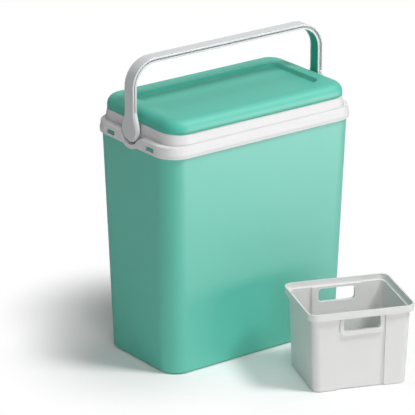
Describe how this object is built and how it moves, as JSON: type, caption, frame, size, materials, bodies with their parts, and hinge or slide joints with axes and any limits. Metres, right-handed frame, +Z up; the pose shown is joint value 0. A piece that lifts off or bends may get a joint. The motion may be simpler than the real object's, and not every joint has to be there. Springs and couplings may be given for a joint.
{
  "type": "vaccine carrier",
  "caption": "Rigid insulated vaccine carrier: drafted two-wall box, lift-off lid with a tray top, bail handle that swings over the lid, ice packs inside and a removable vial basket.",
  "frame": {"origin": "middle of the box's underside, on the surface that it stands on", "axes": "+Z up; +X along the long side, through the handle's pivots; -Y is the side where the basket stands"},
  "size_m": [0.39, 0.4558, 0.5235],
  "materials": {
    "shell_teal": "satin",
    "rigid_foam": "matte",
    "liner_white": "satin",
    "collar_white": "satin",
    "pin_steel": "satin",
    "lid_teal": "satin",
    "skirt_white": "satin",
    "pan_white": "satin",
    "gasket_rubber": "matte",
    "handle_grey": "satin",
    "strip_teal": "satin",
    "basket_grey": "satin",
    "pack_white": "satin",
    "plug_blue": "satin"
  },
  "bodies": {
    "carrier": {"outer_shell": "shell_teal", "body_insulation": "rigid_foam", "inner_liner": "liner_white", "rim_collar": "collar_white", "left_pivot_pin": "pin_steel", "right_pivot_pin": "pin_steel"},
    "lid": {"lid_cap": "lid_teal", "lid_skirt": "skirt_white", "lid_insulation": "rigid_foam", "lid_inner_pan": "pan_white", "lid_gasket": "gasket_rubber"},
    "handle": {"handle_bail": "handle_grey", "handle_inner_strip": "strip_teal"},
    "basket": {"vial_basket": "basket_grey"},
    "pack_1": {"ice_pack_1": "pack_white"},
    "pack_plug_1": {"ice_pack_plug_1": "plug_blue"},
    "pack_2": {"ice_pack_2": "pack_white"},
    "pack_plug_2": {"ice_pack_plug_2": "plug_blue"},
    "pack_3": {"ice_pack_3": "pack_white"},
    "pack_plug_3": {"ice_pack_plug_3": "plug_blue"},
    "pack_4": {"ice_pack_4": "pack_white"},
    "pack_plug_4": {"ice_pack_plug_4": "plug_blue"}
  },
  "joints": [
    {"name": "lid_lift", "type": "slide", "parent": "carrier", "child": "lid", "axis": [0, 0, 1], "range_m": [0, 0.06]},
    {"name": "handle_swing", "type": "hinge", "parent": "carrier", "child": "handle", "pos_m": [0, 0, 0.408], "axis": [1, 0, 0], "range_deg": [-78, 78]},
    {"name": "basket_lift", "type": "slide", "parent": "carrier", "child": "basket", "axis": [0, 0, 1], "range_m": [0, 0.3]},
    {"name": "pack_1_lift", "type": "slide", "parent": "carrier", "child": "pack_1", "axis": [0, 0, 1], "range_m": [0, 0.155]},
    {"name": "pack_1_plug_turn", "type": "hinge", "parent": "pack_1", "child": "pack_plug_1", "pos_m": [-0.144, 0.034, 0.21], "axis": [0, 0, 1], "range_deg": [0, 360]},
    {"name": "pack_2_lift", "type": "slide", "parent": "carrier", "child": "pack_2", "axis": [0, 0, 1], "range_m": [0, 0.155]},
    {"name": "pack_2_plug_turn", "type": "hinge", "parent": "pack_2", "child": "pack_plug_2", "pos_m": [-0.117, 0.034, 0.21], "axis": [0, 0, 1], "range_deg": [0, 360]},
    {"name": "pack_3_lift", "type": "slide", "parent": "carrier", "child": "pack_3", "axis": [0, 0, 1], "range_m": [0, 0.155]},
    {"name": "pack_3_plug_turn", "type": "hinge", "parent": "pack_3", "child": "pack_plug_3", "pos_m": [0.144, 0.034, 0.21], "axis": [0, 0, 1], "range_deg": [0, 360]},
    {"name": "pack_4_lift", "type": "slide", "parent": "carrier", "child": "pack_4", "axis": [0, 0, 1], "range_m": [0, 0.155]},
    {"name": "pack_4_plug_turn", "type": "hinge", "parent": "pack_4", "child": "pack_plug_4", "pos_m": [0.117, 0.034, 0.21], "axis": [0, 0, 1], "range_deg": [0, 360]}
  ]
}
